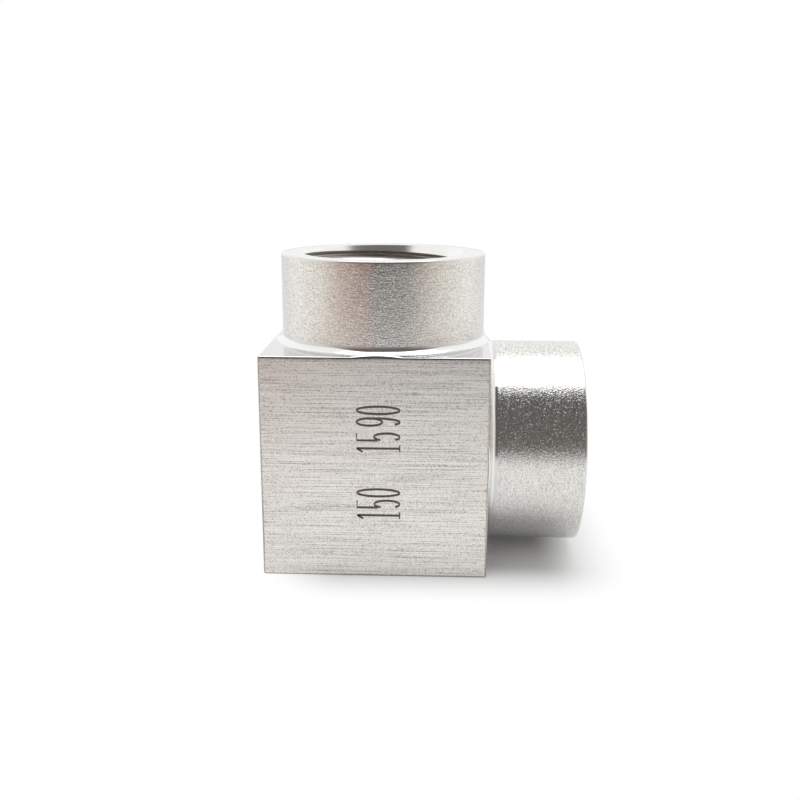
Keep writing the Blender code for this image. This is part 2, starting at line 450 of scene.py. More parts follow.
def groove_depth(offset):
    """Depth of the groove at a distance from its middle, along the axis: an arc at the root, then a
    straight flank, which goes on past the bore and so becomes negative there."""
    offset = np.abs(offset)
    arc = np.sqrt(np.maximum(ROOT_RADIUS**2 - offset**2, 0.0)) - ROOT_RADIUS
    flank = -ROOT_SAG - (offset - ROOT_HALF) / FLANK_TANGENT
    return THREAD_DEPTH + np.where(offset < ROOT_HALF, arc, flank)


def thread_radius(port, angle, out):
    """Radius of the bore's wall at an angle and a place along the axis.

    The nearest turn of the groove is found first. Over the run-out the groove stands off towards the
    axis by the share of the run-out still to go. The wall is the greatest of the bore, the groove
    and the countersink, a cone that leans 30 degrees from the axis and starts at the mouth.
    """
    start = port.rim - THREAD_LENGTH
    place = (out - start) / THREAD_PITCH - port.groove_turn(angle)
    nearest = np.round(place)
    turn = nearest + port.groove_turn(angle)
    stand_off = THREAD_DEPTH * (1.0 - np.clip(turn / RUN_OUT_TURNS, 0.0, 1.0))
    groove = groove_depth((place - nearest) * THREAD_PITCH) - stand_off
    cone = MOUTH_RADIUS - MOUTH_SLOPE * (port.rim - out)
    return np.maximum(MINOR_RADIUS + np.maximum(groove, 0.0), cone)


def add_thread(port):
    """The countersunk mouth and the thread, as rows that climb with the helix.

    A row's height is the start of the thread plus the pitch times the sum of the helix's turns at that
    angle and the row's own place in turns, held between the far end and the mouth. A few spare turns
    at both ends make sure that the rows reach them all the way round.
    """
    half = np.array(HALF_GROOVE)
    groove = np.concatenate([-half[::-1], [0.0], half, [MID_CREST]])
    turns = math.ceil(THREAD_LENGTH / THREAD_PITCH) + SPARE_TURNS
    rows = (np.arange(turns)[:, None] - SPARE_BELOW + groove[None, :]).ravel()[::-1, None]
    start = port.rim - THREAD_LENGTH
    out = start + THREAD_PITCH * (rows + port.groove_turn(EVEN_ANGLE))
    out = np.clip(out, start - END_CLEARANCE, port.rim)
    port.add_rings(thread_radius(port, EVEN_ANGLE, out), EVEN_ANGLE, out, "thread")
    return start - END_CLEARANCE


# %% [markdown]
# ## Socket floor and passage
# Below the thread the tapping drill leaves a plain wall and a floor that slopes like its point. A
# narrower drill then goes on until its full width reaches the other port's axis. Where the two drillings
# meet, they share a curve on the plane halfway between the two axes, so each port stops there. A Boolean
# would find that curve by itself, but it leaves slivers that shade badly.

# %% Passage
BORE_STEPS = 3
FLOOR_STEPS = 2
PASSAGE_STEPS = 6
POINT_STEPS = 3


def add_passage(port, thread_end):
    """Plain bore, sloping floor and passage, down to the curve shared with the other port.

    On the inner side of the bend the passage ends at a height of its radius times the cosine of the
    angle. On the outer side it runs to the other port's axis, and the drill's cone goes on to the
    shared plane, at a depth of radius times cosine over one plus slope times cosine.
    """
    floor = port.rim - SOCKET_DEPTH
    share = np.linspace(0.0, 1.0, BORE_STEPS + 1)[:, None]
    port.add_rings(MINOR_RADIUS, EVEN_ANGLE, thread_end + (floor - thread_end) * share, "bore")
    share = np.linspace(0.0, 1.0, FLOOR_STEPS + 1)[:, None]
    radius = MINOR_RADIUS + (PASSAGE_RADIUS - MINOR_RADIUS) * share
    port.add_rings(radius, EVEN_ANGLE, floor - (MINOR_RADIUS - radius) / DRILL_SLOPE, "bore")

    passage_start = floor - (MINOR_RADIUS - PASSAGE_RADIUS) / DRILL_SLOPE
    cosine = np.cos(EVEN_ANGLE)
    wall_end = PASSAGE_RADIUS * np.maximum(cosine, 0.0)
    share = np.linspace(0.0, 1.0, PASSAGE_STEPS + 1)[:, None]
    port.add_rings(PASSAGE_RADIUS, EVEN_ANGLE, passage_start + (wall_end - passage_start) * share, "bore")
    behind = np.maximum(-cosine, 0.0)
    cone_end = PASSAGE_RADIUS * behind / (1.0 + DRILL_SLOPE * behind)
    depth = cone_end * np.linspace(0.0, 1.0, POINT_STEPS + 1)[:, None]
    port.add_rings(PASSAGE_RADIUS - DRILL_SLOPE * depth, EVEN_ANGLE, wall_end - depth, "bore")


for port in PORTS:
    spoke_angle = add_shoulder(port)
    add_hub(port, spoke_angle)
    add_passage(port, add_thread(port))
print("grids", len(grids), "points", sum(points[..., 0].size for points, _, _ in grids))

# %% [markdown]
# ## Sewing the skin
# The arrays become one mesh, and the merge sews it. Two numbers then show that it is closed and faces
# outwards: no edge is open, and the volume comes out positive. Edges that turn by more than a machined
# edge should are marked sharp, and all the rest is shaded smooth.

# %% Build the mesh
SHARP_ANGLE = math.radians(38.0)


def sew(name, finishes):
    """One object from all the grids: faces are numbered on from grid to grid, then doubles merge."""
    points = np.concatenate([grid.reshape(-1, 3) for grid, _, _ in grids])
    faces = []
    kinds = []
    first = 0
    for grid, finish, flip in grids:
        quads = grid_faces(grid.shape[0], grid.shape[1], flip) + first
        faces.append(quads)
        kinds.append(np.full(len(quads), finishes.index(finish)))
        first += grid.shape[0] * grid.shape[1]
    mesh = bpy.data.meshes.new(name)
    mesh.from_pydata(points, [], np.concatenate(faces))
    mesh.polygons.foreach_set("material_index", np.concatenate(kinds).astype(np.int32))
    skin = bmesh.new()
    skin.from_mesh(mesh)
    bmesh.ops.remove_doubles(skin, verts=skin.verts, dist=SEW_DISTANCE)
    loose = [vertex for vertex in skin.verts if not vertex.link_faces]
    bmesh.ops.delete(skin, geom=loose, context="VERTS")
    open_edges = sum(not edge.is_manifold for edge in skin.edges)
    print("faces", len(skin.faces), "open edges", open_edges, "volume", skin.calc_volume() * 1e6, "ml")
    skin.to_mesh(mesh)
    skin.free()
    mesh.shade_smooth()
    mesh.set_sharp_from_angle(angle=SHARP_ANGLE)
    piece = bpy.data.objects.new(name, mesh)
    bpy.context.scene.collection.objects.link(piece)
    return piece


FINISHES = sorted({finish for _, finish, _ in grids})
elbow = sew("machined_elbow", FINISHES)
elbow.data.calc_loop_triangles()
print("triangles", len(elbow.data.loop_triangles), "finishes", FINISHES)

# %% [markdown]
# ## The marking
# Fittings of this kind carry a few figures, burnt into the front face by a laser and read from the bottom
# up. Plain numbers stand there. A text object would bring a font's own shapes, which are rounder and
# closer set. So a stroke is a thin flat ribbon carried along a line or part of an oval, and shrunk to a
# point at both ends to close it. As if drawn with a broad nib, it is wide where it runs along the
# figure's height, and narrow where it runs across.

# %% Strokes
DIGIT_WIDTH = 0.0012
DIGIT_HEIGHT = 0.0054
DIGIT_STEP = 0.00146
SPACE_STEP = 0.0004
NIB_ALONG = 0.00029
NIB_ACROSS = 0.00016
STROKE_PROUD = 0.000003
STROKE_LIFT = 0.000001
BASELINE_X = 0.0032
NUMBERS = (("150", 0.0075), ("15 90", 0.0161))


def oval(centre, size, start, end, steps=40):
    """Points on part of an oval: its centre plus its two half sizes times (cosine, sine) of an angle."""
    angle = np.radians(np.linspace(start, end, steps + 1))
    return np.array(centre) + np.array(size) * np.stack([np.cos(angle), np.sin(angle)], axis=1)


def digit_paths():
    """The middle lines of each digit's strokes, from the lower left corner of its place."""
    left = NIB_ALONG / 2
    right = DIGIT_WIDTH - left
    middle = DIGIT_WIDTH / 2
    foot = NIB_ACROSS / 2
    head = DIGIT_HEIGHT - foot
    half_width = middle - left
    half_height = DIGIT_HEIGHT / 2 - foot
    centre = DIGIT_HEIGHT / 2
    small_oval = 0.29 * DIGIT_HEIGHT
    zero = [oval((middle, centre), (half_width, half_height), 90, 450)]
    nine = [
        oval((middle, head - small_oval), (half_width, small_oval), 0, 360),
        oval((middle, centre), (half_width, half_height), 25, -130),
    ]
    flag_foot = 0.86 * head
    stem_top = 0.98 * head
    one = [
        np.array([(left, flag_foot), (middle, head), (middle, stem_top), (middle, foot)]),
        np.array([(left, foot), (right, foot)]),
    ]
    belly_top = 0.52 * head
    five = [
        np.array([(right, head), (left, head), (left, belly_top)]),
        oval((middle, foot + small_oval), (half_width, small_oval), 150, -140),
    ]
    return {"0": zero, "9": nine, "1": one, "5": five}


def ribbon(path, proud):
    """A closed thin bar along a path: at each point the four corners of its section lie half a stroke
    to the left and right of the path, just under and just over the face."""
    forward = np.gradient(path, axis=0)
    forward /= np.linalg.norm(forward, axis=1, keepdims=True)
    width = np.hypot(NIB_ALONG * forward[:, 1:], NIB_ACROSS * forward[:, :1])
    left = np.stack([-forward[:, 1], forward[:, 0]], axis=1) * width / 2
    rings = []
    for side, rise in ((1, -1), (-1, -1), (-1, 1), (1, 1), (1, -1)):
        height = np.full((len(path), 1), rise * proud)
        rings.append(np.concatenate([path + side * left, height], axis=1))
    rings = np.stack(rings, axis=1)
    first, last = (np.broadcast_to(rings[i].mean(axis=0), rings[i].shape)[None] for i in (0, -1))
    return np.concatenate([first, rings, last])


def write_numbers():
    """Lays the numbers' ribbons on the front face: reading runs up Z, and the tops point to -X. Each
    stroke of a digit lies a little higher than the one before, so that they don't share a plane."""
    paths = digit_paths()
    for number, along in NUMBERS:
        for digit in number:
            for i, path in enumerate(paths.get(digit, ())):
                flat = ribbon(path, STROKE_PROUD + i * STROKE_LIFT)
                columns = (BASELINE_X - flat[..., 1], low.y - flat[..., 2], along + flat[..., 0])
                add_grid(np.stack(columns, axis=-1), "burnt_mark", flip=False)
            along += DIGIT_STEP if digit != " " else SPACE_STEP


grids.clear()
write_numbers()
marking = sew("size_numbers", ["burnt_mark"])

# %% [markdown]
# ## Short words for nodes
# A finish is a graph of nodes. Written out node by node and link by link, even a simple one fills a page.
# A few helpers make it read like a formula instead: each places one node, gives its inputs either links
# or plain values, and returns the output.

# %% Node helpers
def new_group(name, inputs, outputs):
    """An empty shader node group with named sockets: vectors and values in, values out."""
    group = bpy.data.node_groups.new(name, "ShaderNodeTree")
    kinds = {"vector": "NodeSocketVector", "value": "NodeSocketFloat"}
    for label, kind, default in inputs:
        socket = group.interface.new_socket(label, in_out="INPUT", socket_type=kinds[kind])
        if default is not None:
            socket.default_value = default
    for label, kind in outputs:
        group.interface.new_socket(label, in_out="OUTPUT", socket_type=kinds[kind])
    return group, group.nodes.new("NodeGroupInput"), group.nodes.new("NodeGroupOutput")


def add_node(tree, kind, **settings):
    """A new node of a kind, with its properties set."""
    node = tree.nodes.new(kind)
    for name, value in settings.items():
        setattr(node, name, value)
    return node


def feed(tree, target, source):
    """Gives a node's input either a link or a plain value."""
    if isinstance(source, bpy.types.NodeSocket):
        tree.links.new(source, target)
    else:
        target.default_value = source


def calculate(tree, operation, first, second=0.0, third=0.0):
    """The result of one Math node."""
    node = add_node(tree, "ShaderNodeMath", operation=operation)
    for socket, source in zip(node.inputs, (first, second, third)):
        feed(tree, socket, source)
    return node.outputs[0]


def combined(tree, x, y, z):
    """A vector out of three values."""
    node = add_node(tree, "ShaderNodeCombineXYZ")
    for socket, source in zip(node.inputs, (x, y, z)):
        feed(tree, socket, source)
    return node.outputs[0]


def noise(tree, vector, detail, roughness):
    """Value of a noise whose grains are one unit of the vector wide, centred on 0.5."""
    node = add_node(tree, "ShaderNodeTexNoise", noise_dimensions="3D")
    node.inputs["Scale"].default_value = 1.0
    node.inputs["Detail"].default_value = detail
    node.inputs["Roughness"].default_value = roughness
    feed(tree, node.inputs["Vector"], vector)
    return node.outputs[0]


def spread(tree, value, low_value, high_value, out_low=0.0, out_high=1.0):
    """Stretches a value from one range to another, easing in and out, and holds it at the ends."""
    node = add_node(tree, "ShaderNodeMapRange", interpolation_type="SMOOTHSTEP")
    sources = (value, low_value, high_value, out_low, out_high)
    for socket, source in zip(node.inputs, sources):
        feed(tree, socket, source)
    return node.outputs[0]


def pattern(tree, group, vector, **values):
    """Places a pattern group in a material and returns its outputs."""
    node = add_node(tree, "ShaderNodeGroup", node_tree=group)
    feed(tree, node.inputs[0], vector)
    for label, value in values.items():
        node.inputs[label].default_value = value
    return node.outputs


# %% [markdown]
# ## Patterns that several finishes share
# Machined steel shows three fine patterns: straight lines from grinding, rings from turning, and the
# even speckle of a satin blast. Each is a small node group with its own inputs, built once and placed
# in every finish that needs it with its own sizes. Sizes are metres, measured on the elbow itself, so a
# pattern keeps its scale wherever the elbow stands. A fourth group tells flats from rounded edges.

# %% Grinding lines
SCRATCH_HALF_WIDTH = (0.006, 0.03)


def make_grinding_lines():
    """Long thin lines: noise on the place divided by the line's length, and by its width along Z.
    Scratches are finer: they run where the noise passes its middle value."""
    inputs = (("Vector", "vector", None), ("Length", "value", 0.004), ("Width", "value", 0.0001))
    outputs = (("Value", "value"), ("Scratch", "value"))
    group, source, result = new_group("Grinding lines", inputs, outputs)
    size = combined(group, source.outputs["Length"], source.outputs["Length"], source.outputs["Width"])
    divided = add_node(group, "ShaderNodeVectorMath", operation="DIVIDE")
    feed(group, divided.inputs[0], source.outputs["Vector"])
    feed(group, divided.inputs[1], size)
    value = noise(group, divided.outputs[0], detail=2.0, roughness=0.6)
    off_centre = calculate(group, "ABSOLUTE", calculate(group, "SUBTRACT", value, 0.5))
    feed(group, result.inputs["Value"], value)
    feed(group, result.inputs["Scratch"], spread(group, off_centre, *SCRATCH_HALF_WIDTH, 1.0, 0.0))
    return group


# %% Turning rings
def make_turning_rings():
    """Rings round Z: noise whose fast coordinate is radius plus height over the ring's width, and whose
    slow ones are the place over the length that a ring keeps its strength."""
    inputs = (("Vector", "vector", None), ("Length", "value", 0.01), ("Width", "value", 0.0001))
    group, source, result = new_group("Turning rings", inputs, (("Value", "value"), ("Radius", "value")))
    parts = add_node(group, "ShaderNodeSeparateXYZ")
    feed(group, parts.inputs[0], source.outputs["Vector"])
    x, y, z = parts.outputs
    squares = calculate(group, "MULTIPLY_ADD", x, x, calculate(group, "MULTIPLY", y, y))
    radius = calculate(group, "SQRT", squares)
    fast = calculate(group, "DIVIDE", calculate(group, "ADD", radius, z), source.outputs["Width"])
    slow_x = calculate(group, "DIVIDE", x, source.outputs["Length"])
    slow_y = calculate(group, "DIVIDE", y, source.outputs["Length"])
    value = noise(group, combined(group, slow_x, slow_y, fast), detail=4.0, roughness=0.65)
    feed(group, result.inputs["Value"], value)
    feed(group, result.inputs["Radius"], radius)
    return group


# %% Flats
FLAT_TOTAL = (0.93, 0.995)


def make_flats():
    """One on a flat face, and zero where an edge is rounded. The fourth powers of the three parts of a
    direction add up to one along an axis only, and to less the more it leans."""
    group, source, result = new_group("Flats", (("Normal", "vector", None),), (("Value", "value"),))
    parts = add_node(group, "ShaderNodeSeparateXYZ")
    feed(group, parts.inputs[0], source.outputs["Normal"])
    total = 0.0
    for part in parts.outputs:
        size = calculate(group, "ABSOLUTE", part)
        total = calculate(group, "ADD", total, calculate(group, "POWER", size, 4.0))
    feed(group, result.inputs["Value"], spread(group, total, *FLAT_TOTAL))
    return group


# %% Blasted speckle
DENT_PEAKS = (0.60, 0.74)


def make_speckle():
    """Even grains: noise on the place divided by the grain's size. Dents are its highest peaks alone."""
    inputs = (("Vector", "vector", None), ("Size", "value", 0.0002))
    group, source, result = new_group("Blasted speckle", inputs, (("Value", "value"), ("Dents", "value")))
    divided = add_node(group, "ShaderNodeVectorMath", operation="SCALE")
    feed(group, divided.inputs[0], source.outputs["Vector"])
    feed(group, divided.inputs["Scale"], calculate(group, "DIVIDE", 1.0, source.outputs["Size"]))
    value = noise(group, divided.outputs[0], detail=3.0, roughness=0.6)
    feed(group, result.inputs["Value"], value)
    feed(group, result.inputs["Dents"], spread(group, value, *DENT_PEAKS))
    return group


GRINDING_LINES = make_grinding_lines()
TURNING_RINGS = make_turning_rings()
SPECKLE = make_speckle()
FLATS = make_flats()
print("node groups", [group.name for group in bpy.data.node_groups])

# %% [markdown]
# ## Steel
# All finishes are the same steel, and differ in how rough they are and in which pattern runs over them.
# A pattern or a mask can do three things: darken the steel a little, change how sharply it mirrors, and
# tilt the surface through a bump. The last does most: on metal nearly all that the eye sees is a
# reflection, and lines a few micrometres deep already break it up.

# %% Steel
def new_steel(name, roughness, across="Z", origin=(0.0, 0.0, 0.0)):
    """A metal material, and the elbow's coordinates with the axis that a pattern follows put on Z."""
    material = bpy.data.materials.new(name)
    material.use_nodes = True
    tree = material.node_tree
    shader = tree.nodes["Principled BSDF"]
    shader.inputs["Metallic"].default_value = 1.0
    shader.inputs["Roughness"].default_value = roughness
    coordinates = add_node(tree, "ShaderNodeTexCoord")
    parts = add_node(tree, "ShaderNodeSeparateXYZ")
    centred = add_node(tree, "ShaderNodeVectorMath", operation="SUBTRACT")
    centred.inputs[1].default_value = origin
    feed(tree, centred.inputs[0], coordinates.outputs["Object"])
    feed(tree, parts.inputs[0], centred.outputs[0])
    x, y, z = parts.outputs
    order = {"Z": (x, y, z), "Y": (x, z, y), "X": (z, y, x)}[across]
    return material, tree, shader, combined(tree, *order)


def tint(tree, shader, factor, dark, light):
    """Base colour between a dark and a light steel, by a factor that changes over the surface."""
    mix = add_node(tree, "ShaderNodeMix", data_type="RGBA")
    feed(tree, mix.inputs["Factor"], factor)
    colours = [socket for socket in mix.inputs if socket.type == "RGBA"]
    colours[0].default_value = (*dark, 1.0)
    colours[1].default_value = (*light, 1.0)
    result = next(socket for socket in mix.outputs if socket.type == "RGBA")
    feed(tree, shader.inputs["Base Color"], result)


def relief(tree, shader, heights):
    """Bumps the shader's normal by a list of (height, depth in metres), one Bump node for each."""
    normal = None
    for height, depth in heights:
        bump = add_node(tree, "ShaderNodeBump")
        bump.inputs["Strength"].default_value = 1.0
        bump.inputs["Distance"].default_value = depth
        feed(tree, bump.inputs["Height"], height)
        if normal is not None:
            feed(tree, bump.inputs["Normal"], normal)
        normal = bump.outputs["Normal"]
    feed(tree, shader.inputs["Normal"], normal)


# %% [markdown]
# ## Ground faces
# The block's flats are ground in long strokes, with fine grains and a few scratches and dents between
# the lines. A picture of brushed steel wrapped round the block would blur from close by and show a seam
# at each edge. Noise that is stretched along the strokes does neither. Lines and grains are added up,
# scratches and dents are taken off, and the sum is spread between a dark and a light steel. The lines
# stop at the rounded edges, where a ragged dark grain is painted on as shade, a thin dark line.

# %% Ground faces
STROKE_LENGTH = 0.012
LINE_WIDTH = 0.00005
SCRATCH_SPACING = 0.0005
FLAT_GRAIN = 0.00017
GRAIN_SHARE = 0.45
SCRATCH_LOSS = 0.02
DENT_LOSS = 0.4
FLAT_SPREAD = (0.385, 0.507)
# Painted shade on the rounded edges: the grain range that is spread, and the lightest it gets.
EDGE_SHADE_SPREAD = (0.50, 0.58)
EDGE_SHADE_BRIGHTEST = 0.4
GROUND_DARK = (0.36, 0.34, 0.32)
GROUND_LIGHT = (0.98, 0.95, 0.905)
EDGE_ROUGHNESS = 0.1
FLAT_ROUGHNESS = 0.3
GROUND_DEPTH = 0.00001


def ground_steel(name, across):
    """The block's flats: the sum of lines and grains, less scratches and dents, gives the tint, and
    lines and grains give the relief. The mask of the flats keeps all but the grains off the edges,
    where the grains give a painted shade, a ragged dark line."""
    material, tree, shader, vector = new_steel(name, FLAT_ROUGHNESS, across)
    lines = pattern(tree, GRINDING_LINES, vector, Length=STROKE_LENGTH, Width=LINE_WIDTH)["Value"]
    wide = pattern(tree, GRINDING_LINES, vector, Length=STROKE_LENGTH, Width=SCRATCH_SPACING)
    speckle = pattern(tree, SPECKLE, vector, Size=FLAT_GRAIN)
    grain = speckle["Value"]
    lines_part = calculate(tree, "MULTIPLY", lines, 1.0 - GRAIN_SHARE)
    both = calculate(tree, "MULTIPLY_ADD", grain, GRAIN_SHARE, lines_part)
    scratched = calculate(tree, "MULTIPLY_ADD", wide["Scratch"], -SCRATCH_LOSS, both)
    dented = calculate(tree, "MULTIPLY_ADD", speckle["Dents"], -DENT_LOSS, scratched)
    normal = add_node(tree, "ShaderNodeTexCoord").outputs["Normal"]
    flat = pattern(tree, FLATS, normal)["Value"]
    # Painted shade: on the rounded edges the grain is spread dark, which draws a thin ragged dark line.
    edge = spread(tree, grain, *EDGE_SHADE_SPREAD, 0.0, EDGE_SHADE_BRIGHTEST)
    brighter = calculate(tree, "SUBTRACT", spread(tree, dented, *FLAT_SPREAD), edge)
    shade = calculate(tree, "MULTIPLY_ADD", brighter, flat, edge)
    tint(tree, shader, shade, GROUND_DARK, GROUND_LIGHT)
    roughness = calculate(tree, "MULTIPLY_ADD", flat, FLAT_ROUGHNESS - EDGE_ROUGHNESS, EDGE_ROUGHNESS)
    feed(tree, shader.inputs["Roughness"], roughness)
    height = calculate(tree, "MULTIPLY", calculate(tree, "ADD", lines, grain), flat)
    relief(tree, shader, ((height, GROUND_DEPTH),))
    return material


# %% [markdown]
# ## Turned finishes
# The hubs are turned, then blasted to a satin. The shader's own Anisotropic value could smear their
# reflections round the axis, but it would lose the grains. Here rings and grains are bumps of some
# hundredths of a millimetre, and they smear the reflections by themselves. The faced rims and the bores
# have the same two patterns, finer or duller, so one function makes all three from a table of looks.

# %% Turned finishes
RING_STRETCH = 6.0
SPECKLE_SHARE = 0.7
TURNED_SPREAD = (0.38, 0.6)
DENT_HEIGHT = 0.35
TURNED_LOOKS = {
    "hub": {
        "roughness": 0.12, "light": (0.94, 0.93, 0.895), "dark": (0.58, 0.57, 0.545),
        "ring": 0.00015, "ring_depth": 0.000024, "grain": 0.00018, "grain_depth": 0.00003,
    },
    "rim": {
        "roughness": 0.17, "light": (0.85, 0.84, 0.83), "dark": (0.72, 0.71, 0.70),
        "ring": 0.00009, "ring_depth": 0.000002, "grain": 0.0002, "grain_depth": 0.000001,
    },
    "bore": {
        "roughness": 0.30, "light": (0.66, 0.64, 0.62), "dark": (0.45, 0.43, 0.41),
        "ring": 0.00015, "ring_depth": 0.000006, "grain": 0.0003, "grain_depth": 0.000006,
    },
}


def port_steel(name, port, roughness):
    """A steel for a surface round a port's axis, which its patterns take as their Z."""
    return new_steel(name, roughness, "X" if port.mirrored else "Z", tuple(CROSSING))


def turned_steel(name, port, look):
    """A turned surface: rings round the port's axis and a satin speckle over them. Their sum gives the
    tint, and each has a relief of its own, with some height added at the speckle's peaks."""
    material, tree, shader, vector = port_steel(name, port, look["roughness"])
    ring = look["ring"]
    rings = pattern(tree, TURNING_RINGS, vector, Length=RING_STRETCH * ring, Width=ring)["Value"]
    speckle = pattern(tree, SPECKLE, vector, Size=look["grain"])
    rings_part = calculate(tree, "MULTIPLY", rings, 1.0 - SPECKLE_SHARE)
    both = calculate(tree, "MULTIPLY_ADD", speckle["Value"], SPECKLE_SHARE, rings_part)
    tint(tree, shader, spread(tree, both, *TURNED_SPREAD), look["dark"], look["light"])
    grains = calculate(tree, "MULTIPLY_ADD", speckle["Dents"], DENT_HEIGHT, speckle["Value"])
    relief(tree, shader, ((rings, look["ring_depth"]), (grains, look["grain_depth"])))
    return material


# %% [markdown]
# ## Shoulder and fillet
# The shoulder is faced, not blasted, and mirrors the room almost plainly. The fillet is painted a lighter
# tint: a painted highlight that gives the white ring round each hub's foot. It could be a material of
# its own, but then a hard line would run where the two meet. A mask by the distance from the axis fades
# one into the other.

# %% Shoulder and fillet
FACED_ROUGHNESS = 0.09
FACED_RING = 0.00012
FACED_STRETCH = 0.012
FACED_DEPTH = 0.000001
FACED_TINT = (0.72, 0.72, 0.72)
# Painted highlight: the fillet's lighter tint stands in for the bright reflection round each hub's foot.
FILLET_HIGHLIGHT_TINT = (0.90, 0.90, 0.89)
FILLET_HIGHLIGHT_STARTS = (HUB_RADIUS + 0.00002, HUB_RADIUS + 0.0001)
FILLET_HIGHLIGHT_ENDS = (HUB_RADIUS + 0.0007, HUB_RADIUS + 0.0010)


def faced_steel(name, port):
    """The faced shoulder and the fillet's painted highlight, a lighter tint. The mask is the product of
    one that rises just outside the hub's wall and one that falls where the fillet runs out."""
    material, tree, shader, vector = port_steel(name, port, FACED_ROUGHNESS)
    rings = pattern(tree, TURNING_RINGS, vector, Length=FACED_STRETCH, Width=FACED_RING)
    inner = spread(tree, rings["Radius"], *FILLET_HIGHLIGHT_STARTS)
    outer = spread(tree, rings["Radius"], *FILLET_HIGHLIGHT_ENDS, 1.0, 0.0)
    tint(tree, shader, calculate(tree, "MULTIPLY", inner, outer), FACED_TINT, FILLET_HIGHLIGHT_TINT)
    relief(tree, shader, ((rings["Value"], FACED_DEPTH),))
    return material


# %% [markdown]
# ## Thread and mouth
# The groove is painted darker towards its root than at the crests, as painted shade. The countersunk
# mouth was cut last and is the brightest part of all. Both are one grid, so the finish tells them apart
# by place: on the countersink, a cone, the radius less the slope times the height is the same everywhere.

# %% Thread and mouth
THREAD_ROUGHNESS = 0.36
MOUTH_ROUGHNESS = 0.16
THREAD_RING = 0.00006
THREAD_STRETCH = 0.006
TOOL_DEPTH = 0.000004
# The thread's painted shade at the groove's root.
THREAD_ROOT_SHADE = (0.46, 0.44, 0.42)
MOUTH_TINT = (0.95, 0.94, 0.92)
CREST_SHADE = 0.8
UNEVEN_SPREAD = (0.2, 0.6)
UNEVEN_DARKEST = 0.8
MOUTH_FADES = (0.00002, 0.00006)


def threaded_steel(name, port):
    """The thread, with painted shade from dark at the root to lighter at the crest, and its bright
    mouth. The brighter of the two shades counts, a little uneven by the tool's rings."""
    material, tree, shader, vector = port_steel(name, port, THREAD_ROUGHNESS)
    rings = pattern(tree, TURNING_RINGS, vector, Length=THREAD_STRETCH, Width=THREAD_RING)
    # Painted shade: the tint darkens from the crests down to the groove's root.
    crest = spread(tree, rings["Radius"], MINOR_RADIUS, MINOR_RADIUS + THREAD_DEPTH, CREST_SHADE, 0.0)
    parts = add_node(tree, "ShaderNodeSeparateXYZ")
    feed(tree, parts.inputs[0], vector)
    offset = calculate(tree, "MULTIPLY_ADD", parts.outputs[2], -MOUTH_SLOPE, rings["Radius"])
    cone = MOUTH_RADIUS - MOUTH_SLOPE * port.rim
    mouth = spread(tree, offset, cone + MOUTH_FADES[0], cone + MOUTH_FADES[1], 1.0, 0.0)
    shade = calculate(tree, "MAXIMUM", crest, mouth)
    uneven = spread(tree, rings["Value"], *UNEVEN_SPREAD, UNEVEN_DARKEST, 1.0)
    tint(tree, shader, calculate(tree, "MULTIPLY", shade, uneven), THREAD_ROOT_SHADE, MOUTH_TINT)
    roughness = spread(tree, mouth, 0.0, 1.0, THREAD_ROUGHNESS, MOUTH_ROUGHNESS)
    feed(tree, shader.inputs["Roughness"], roughness)
    relief(tree, shader, ((rings["Value"], TOOL_DEPTH),))
    return material


# %% [markdown]
# ## Burnt strokes
# A laser leaves a brown-black skin of oxide, dull and hardly metallic. A plain dark material would look
# like paint. Steel that keeps part of its metal shows a faint glint at a low angle, as burnt steel does.

# %% Burnt strokes
BURNT_ROUGHNESS = 0.55
BURNT_METAL = 0.4
BURNT_GRAIN = 0.00009
BURNT_SPREAD = (0.35, 0.65)
BURNT_DARK = (0.075, 0.058, 0.048)
BURNT_LIGHT = (0.15, 0.12, 0.10)
BURNT_DEPTH = 0.000004


def burnt_steel(name):
    """Steel burnt dark by the laser, a little brown and quite dull."""
    material, tree, shader, vector = new_steel(name, BURNT_ROUGHNESS)
    shader.inputs["Metallic"].default_value = BURNT_METAL
    grain = pattern(tree, SPECKLE, vector, Size=BURNT_GRAIN)["Value"]
    tint(tree, shader, spread(tree, grain, *BURNT_SPREAD), BURNT_DARK, BURNT_LIGHT)
    relief(tree, shader, ((grain, BURNT_DEPTH),))
    return material


# %% [markdown]
# ## From finish to material
# Each grid came with the name of its finish, and the skin's faces keep that name's number. So no face has
# to be picked by hand: the materials are added in the order of those numbers.

# %% Give each finish its material
materials = {
    "ground_flat": ground_steel("ground_flat", "Z"),
    "ground_base": ground_steel("ground_base", "Y"),
}
for port in PORTS:
    for part, look in TURNED_LOOKS.items():
        name = part + "_" + port.name
        materials[name] = turned_steel(name, port, look)
    materials["shoulder_" + port.name] = faced_steel("shoulder_" + port.name, port)
    materials["thread_" + port.name] = threaded_steel("thread_" + port.name, port)
for finish in FINISHES:
    elbow.data.materials.append(materials[finish])
marking.data.materials.append(burnt_steel("burnt_mark"))
print("materials", sorted(materials))

# %% [markdown]
# ## Hand the pieces over
# The real elbow is one piece, so the skin and the numbers both ride on its one body. The skin also stands
# for the plain solid, which is then hidden.

# %% Ride and replace
for piece in (elbow, marking):
    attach(piece, "root")
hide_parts("elbow_body")

# %% [markdown]
# ## The studio
# Steel has hardly any colour of its own, so the studio is part of its finish: a white table, a white
# room, a dim wall in front and one wide soft lamp above. The table could be lit until it is white, but
# then the elbow would be too bright as well. So it keeps a pale grey with the shadow on it near the
# elbow, and turns into plain white a little further out.

# %% Table
def plain_material(name, colour, roughness):
    """A matt material of one colour, for what isn't part of the elbow."""
    material = bpy.data.materials.new(name)
    material.use_nodes = True
    shader = material.node_tree.nodes["Principled BSDF"]
    shader.inputs["Base Color"].default_value = (*colour, 1.0)
    shader.inputs["Roughness"].default_value = roughness
    shader.inputs["Specular IOR Level"].default_value = 0.0
    return material


def card(name, corners, material):
    """A flat four-cornered sheet with its material."""
    mesh = bpy.data.meshes.new(name)
    mesh.from_pydata(corners, [], [(0, 1, 2, 3)])
    mesh.materials.append(material)
    sheet = bpy.data.objects.new(name, mesh)
    bpy.context.scene.collection.objects.link(sheet)


